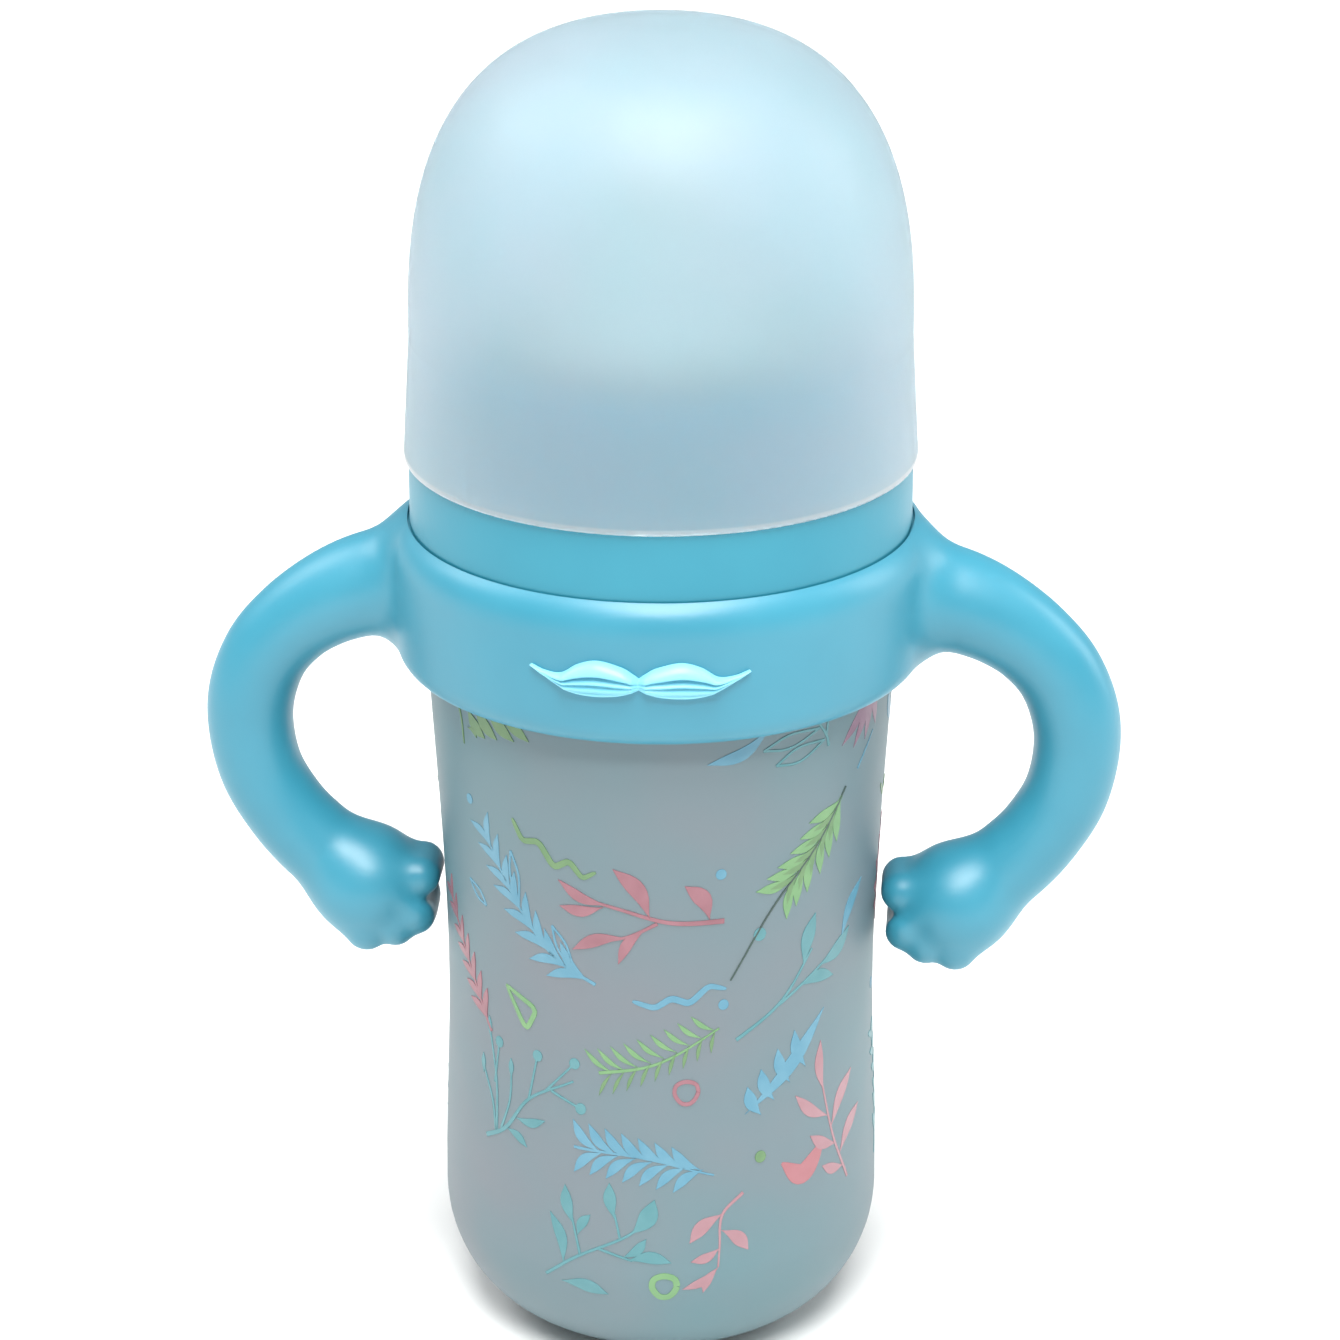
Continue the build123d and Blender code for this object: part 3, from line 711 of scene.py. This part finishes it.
leaf("teal", (-4.2, 27.2), (-5.0, 32.8), 1.9, 0.05)
stem("teal", [(-9.4, 20.8), (-10.6, 26.4)], 0.4, 0.3)
leaf("teal", (-10.4, 25.4), (-11.8, 31.4), 1.9, 0.06)
leaf("teal", (-9.8, 23.8), (-7.8, 27.4), 1.5, 0.1)
leaf("teal", (-12.0, 18.8), (-14.2, 26.6), 1.8, -0.1)
stem("teal", [(-6.8, 22.3), (-1.6, 20.8)], 0.4, 0.3)
leaf("teal", (-3.0, 21.2), (0.4, 24.4), 1.5, -0.1)
leaf("teal", (-2.4, 20.8), (4.0, 20.6), 1.9, 0.12)
leaf("teal", (-12.4, 15.9), (-5.2, 14.9), 2.1, 0.08)
loop("lime", (3.0, 16.8), 1.8, 0.95)
stem("rose", [(14.6, 30.6), (11.4, 27.6), (11.0, 22.4)], 0.5, 0.3)
leaf("rose", (11.5, 27.8), (6.6, 23.6), 2.1, -0.1)
leaf("rose", (11.3, 25.2), (15.4, 21.4), 2.1, 0.1)
leaf("rose", (11.0, 22.4), (6.8, 20.6), 1.5, 0.1)
leaf("rose", (10.8, 19.4), (5.6, 16.2), 1.4, 0.1)
leaf("rose", (10.8, 19.4), (8.6, 15.4), 1.4, -0.1)
stem("rose", [(11.0, 22.4), (10.8, 19.4)], 0.3, 0.25)
dot("green", (17.4, 35.6), 0.9)

# Between the two sets: on the right, and on the left with the set that is turned to the back.
spray("teal", [(48.0, 24.0), (50.0, 34.0), (47.0, 44.0)], 6, 4.6, 1.7, 0.7)
spray("pink", [(52.0, 60.0), (49.0, 68.0), (51.0, 76.0)], 5, 4.4, 1.9, 0.7)
dot("blue", (47.0, 52.0), 0.9)
zigzag("green", [(45.0, 84.0), (47.4, 81.6), (49.6, 83.4), (52.0, 80.8), (54.0, 82.4)], 0.9)
leaf("blue", (50.0, 92.0), (45.0, 98.5), 2.2, 0.1)
leaf("blue", (50.0, 92.0), (53.5, 98.8), 2.2, -0.1)


def on_wall(flat, turn, raise_by):
    """The flat grid of (round, height) points wrapped onto the bottle's wall."""
    angle = flat[..., 0] / ROUND + turn
    radius = np.vectorize(wall_radius)(angle, flat[..., 1]) + raise_by
    return np.stack([radius * np.sin(angle), -radius * np.cos(angle), flat[..., 1]], axis=-1)


def print_object(ink, order):
    """All strokes of one ink as one piece, drawn on the front and again on the back."""
    points, faces, start = [], [], 0
    proud = PRINT_RAISE + PRINT_STEP * order
    for number, flat in enumerate(inks[ink]):
        top = proud + STROKE_STEP * (number % STROKE_LEVELS)
        for turn in (0.0, math.pi):
            more, more_faces = slab(on_wall(flat, turn, top), on_wall(flat, turn, -PRINT_ROOT))
            points.append(more)
            faces += [tuple(i + start for i in face) for face in more_faces]
            start += len(more)
    piece = mesh_object("print_" + ink, np.vstack(points), faces, PRINT_SMOOTH_ANGLE)
    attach(piece, "bottle")
    return piece


INK_ORDER = ("mauve", "red", "rose", "blue", "teal", "lime", "green", "pink", "dark")
prints = {ink: print_object(ink, order) for order, ink in enumerate(INK_ORDER)}


# ---------------------------------------------------------------- materials
GRAIN_SCALE = 900.0
GRAIN_DEPTH = 0.0002
WAVE_DEPTH = 0.002
TONE_RANGE = (0.3, 0.7)  # the part of the noise that goes from one tone to the other
CAP_LIP = 0.0009  # height of the glossy lip at the cap's open end, which carries a painted highlight, in metres
LIP_BLUR = 0.00015
# painted highlight: the lip's white colour stands in for the light caught by the rounded rim
LIP_PAINTED_HIGHLIGHT = (1.0, 1.0, 1.0, 1.0)
LIP_ROUGHNESS = 0.3
SUBSURFACE = {
    "Subsurface_Weight": 0.08,
    "Subsurface_Scale": 0.002,
    "Subsurface_Radius": (0.6, 1.0, 1.0),
}


def linear(red, green, blue):
    """A colour given as 8-bit screen values, made linear."""
    return tuple(
        (c / 255 / 12.92 if c / 255 <= 0.04045 else ((c / 255 + 0.055) / 1.055) ** 2.4)
        for c in (red, green, blue)
    ) + (1.0,)


def material(
    name,
    tone,
    other_tone,
    roughness,
    tone_scale,
    grain,
    wave=0.0,
    stretch=(1.0, 1.0, 1.0),
    **values,
):
    """A moulded surface: two tones mixed by soft noise, uneven gloss, fine grain and slow waves."""
    mat = bpy.data.materials.new(name)
    mat.use_nodes = True
    nodes, links = mat.node_tree.nodes, mat.node_tree.links
    shader = nodes["Principled BSDF"]
    place = nodes.new("ShaderNodeTexCoord")
    mapping = nodes.new("ShaderNodeMapping")
    mapping.inputs["Scale"].default_value = stretch
    links.new(place.outputs["Object"], mapping.inputs["Vector"])

    def noise(scale, detail):
        node = nodes.new("ShaderNodeTexNoise")
        node.inputs["Scale"].default_value = scale
        node.inputs["Detail"].default_value = detail
        links.new(mapping.outputs["Vector"], node.inputs["Vector"])
        return node.outputs["Fac"]

    tones = nodes.new("ShaderNodeMix")
    tones.data_type = "RGBA"
    tones.inputs["A"].default_value = linear(*tone)
    tones.inputs["B"].default_value = linear(*other_tone)
    spread = nodes.new("ShaderNodeMapRange")
    spread.inputs["From Min"].default_value = TONE_RANGE[0]
    spread.inputs["From Max"].default_value = TONE_RANGE[1]
    links.new(noise(tone_scale, 3.0), spread.inputs["Value"])
    links.new(spread.outputs["Result"], tones.inputs["Factor"])
    links.new(tones.outputs["Result"], shader.inputs["Base Color"])

    gloss = nodes.new("ShaderNodeMapRange")
    gloss.inputs["To Min"].default_value = roughness[0]
    gloss.inputs["To Max"].default_value = roughness[1]
    links.new(noise(tone_scale * 4, 4.0), gloss.inputs["Value"])
    links.new(gloss.outputs["Result"], shader.inputs["Roughness"])

    normal = None
    for scale, detail, strength, distance in (
        (GRAIN_SCALE, 4.0, grain, GRAIN_DEPTH),
        (tone_scale * 1.5, 2.0, wave, WAVE_DEPTH),
    ):
        if strength:
            bump = nodes.new("ShaderNodeBump")
            bump.inputs["Strength"].default_value = strength
            bump.inputs["Distance"].default_value = distance
            links.new(noise(scale, detail), bump.inputs["Height"])
            if normal is not None:
                links.new(normal, bump.inputs["Normal"])
            normal = bump.outputs["Normal"]
    if normal is not None:
        links.new(normal, shader.inputs["Normal"])
    for socket, value in values.items():
        shader.inputs[socket.replace("_", " ")].default_value = value
    return mat


def dress(obj, mat):
    """The one material of a piece, in every slot it has."""
    if not obj.data.materials:
        obj.data.materials.append(mat)
    for index in range(len(obj.data.materials)):
        obj.data.materials[index] = mat


def polish_rim_and_paint_highlight(mat, top):
    """The moulded lip at the cap's open end is glossy, and its paler colour than the frosted wall
    is a painted highlight.
    """
    nodes, links = mat.node_tree.nodes, mat.node_tree.links
    shader = nodes["Principled BSDF"]
    place = nodes.new("ShaderNodeTexCoord")
    split = nodes.new("ShaderNodeSeparateXYZ")
    links.new(place.outputs["Object"], split.inputs["Vector"])
    lip = nodes.new("ShaderNodeMapRange")
    lip.inputs["From Min"].default_value = top - LIP_BLUR
    lip.inputs["From Max"].default_value = top + LIP_BLUR
    lip.inputs["To Min"].default_value = 1.0
    lip.inputs["To Max"].default_value = 0.0
    links.new(split.outputs["Z"], lip.inputs["Value"])
    # the lip's base colour is a painted highlight; its lower roughness is real gloss
    for name, kind, value in (
        ("Base Color", "RGBA", LIP_PAINTED_HIGHLIGHT),
        ("Roughness", "FLOAT", LIP_ROUGHNESS),
    ):
        mix = nodes.new("ShaderNodeMix")
        mix.data_type = kind
        links.new(lip.outputs["Result"], mix.inputs["Factor"])
        links.new(shader.inputs[name].links[0].from_socket, mix.inputs["A"])
        mix.inputs["B"].default_value = value
        links.new(mix.outputs["Result"], shader.inputs[name])


handle_silicone = material(
    "handle_silicone",
    (42, 126, 148),
    (51, 134, 156),
    roughness=(0.37, 0.45),
    tone_scale=45.0,
    grain=0.05,
    wave=0.05,
    **SUBSURFACE,
    IOR=1.6,
)
# painted highlight: the ornament is the handle's silicone, made paler to stand for the light on its
# raised edges
ornament_silicone_painted_highlight = material(
    "ornament_silicone_painted_highlight",
    (122, 196, 216),
    (134, 204, 222),
    roughness=(0.32, 0.42),
    tone_scale=90.0,
    grain=0.05,
    **SUBSURFACE,
    IOR=1.45,
)
ring_plastic = material(
    "ring_plastic",
    (36, 128, 150),
    (44, 135, 156),
    roughness=(0.38, 0.48),
    tone_scale=50.0,
    grain=0.05,
    IOR=1.49,
)
cap_frosted = material(
    "cap_frosted",
    (206, 230, 237),
    (216, 231, 239),
    roughness=(0.48, 0.54),
    tone_scale=40.0,
    grain=0.05,
    wave=0.03,
    Transmission_Weight=0.85,
    IOR=1.45,
)
polish_rim_and_paint_highlight(cap_frosted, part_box("travel_cap")[0][2] + CAP_LIP)
bottle_milky = material(
    "bottle_milky",
    (133, 139, 146),
    (111, 145, 152),
    roughness=(0.44, 0.52),
    tone_scale=22.0,
    grain=0.03,
    wave=0.03,
    Transmission_Weight=0.3,
    IOR=1.38,
)
teat_silicone = material(
    "teat_silicone",
    (236, 236, 230),
    (228, 230, 226),
    roughness=(0.28, 0.36),
    tone_scale=80.0,
    grain=0.03,
    Transmission_Weight=0.45,
    IOR=1.41,
)
connector_white = material(
    "connector_white",
    (232, 234, 234),
    (224, 227, 228),
    roughness=(0.3, 0.4),
    tone_scale=120.0,
    grain=0.03,
)
straw_silicone = material(
    "straw_silicone",
    (226, 230, 232),
    (216, 222, 226),
    roughness=(0.3, 0.4),
    tone_scale=120.0,
    grain=0.03,
    Transmission_Weight=0.4,
    IOR=1.41,
)
weight_plastic = material(
    "weight_plastic",
    (214, 224, 232),
    (206, 217, 227),
    roughness=(0.22, 0.32),
    tone_scale=120.0,
    grain=0.03,
)
weight_steel = material(
    "weight_steel",
    (190, 190, 188),
    (172, 172, 172),
    roughness=(0.25, 0.4),
    tone_scale=200.0,
    grain=0.12,
    stretch=(1.0, 1.0, 14.0),
    Metallic=1.0,
)
for node, mat in (
    ("screw_ring", ring_plastic),
    ("travel_cap", cap_frosted),
    ("bottle_body", bottle_milky),
    ("teat", teat_silicone),
    ("straw_connector", connector_white),
    ("straw_tube", straw_silicone),
    ("weight_shell_upper", weight_plastic),
    ("weight_shell_lower", weight_plastic),
    ("weight_core", weight_steel),
):
    dress(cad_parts[node], mat)
dress(handle, handle_silicone)
dress(ornament, ornament_silicone_painted_highlight)

INK_TONES = {
    "green": ((88, 122, 82), (100, 132, 90)),
    "lime": ((98, 140, 94), (110, 150, 102)),
    "teal": ((70, 124, 130), (84, 134, 140)),
    "blue": ((76, 130, 152), (92, 141, 161)),
    "pink": ((132, 86, 95), (146, 99, 108)),
    "rose": ((150, 110, 117), (158, 120, 127)),
    "red": ((154, 96, 102), (160, 104, 110)),
    "mauve": ((120, 88, 106), (136, 106, 122)),
    "dark": ((46, 64, 60), (58, 80, 72)),
}
for ink, piece in prints.items():
    dress(
        piece,
        material(
            "ink_" + ink,
            *INK_TONES[ink],
            roughness=(0.34, 0.44),
            tone_scale=320.0,
            grain=0.04,
        ),
    )

# ---------------------------------------------------------------- floor, light and background
FLOOR_REACH = 8.0
WORLD_COLOUR = (0.97, 0.985, 1.0, 1.0)
WORLD_STRENGTH = 0.48
LIGHT_TARGET = (0.0, 0.0, 0.1)

floor_mesh = bpy.data.meshes.new("floor")
floor_mesh.from_pydata(
    [(FLOOR_REACH * x, FLOOR_REACH * y, 0) for x, y in ((-1, -1), (1, -1), (1, 1), (-1, 1))],
    [],
    [(0, 1, 2, 3)],
)
floor = bpy.data.objects.new("floor", floor_mesh)
scene.collection.objects.link(floor)
floor.location.z = cad_box[0][2]
dress(
    floor,
    material(
        "floor_pale",
        (236, 236, 234),
        (233, 234, 233),
        roughness=(0.7, 0.8),
        tone_scale=4.0,
        grain=0.0,
    ),
)

world = bpy.data.worlds.new("world")
scene.world = world
world.use_nodes = True
background = world.node_tree.nodes["Background"]
background.inputs["Color"].default_value = WORLD_COLOUR
background.inputs["Strength"].default_value = WORLD_STRENGTH


def soft_light(name, location, size, power, colour=(1.0, 1.0, 1.0)):
    """An area light aimed at the middle of the bottle."""
    data = bpy.data.lights.new(name, "AREA")
    data.shape = "RECTANGLE"
    data.size, data.size_y = size
    data.energy = power
    data.color = colour
    light = bpy.data.objects.new(name, data)
    scene.collection.objects.link(light)
    light.location = location
    aim = Vector(LIGHT_TARGET) - Vector(location)
    light.rotation_euler = aim.to_track_quat("-Z", "Y").to_euler()


# Name, place and size in metres, power in watts and colour.
soft_light("overhead", (0.1, -0.5, 1.95), (1.3, 1.0), 53.0)
soft_light("front", (0.15, -1.2, 1.6), (0.9, 0.3), 24.0)
soft_light("side", (-1.3, 0.35, 1.3), (0.9, 0.9), 13.0)
soft_light("window", (1.4, 0.45, 0.7), (0.5, 1.0), 9.0, (0.95, 0.99, 1.0))

scene.view_settings.view_transform = "Standard"
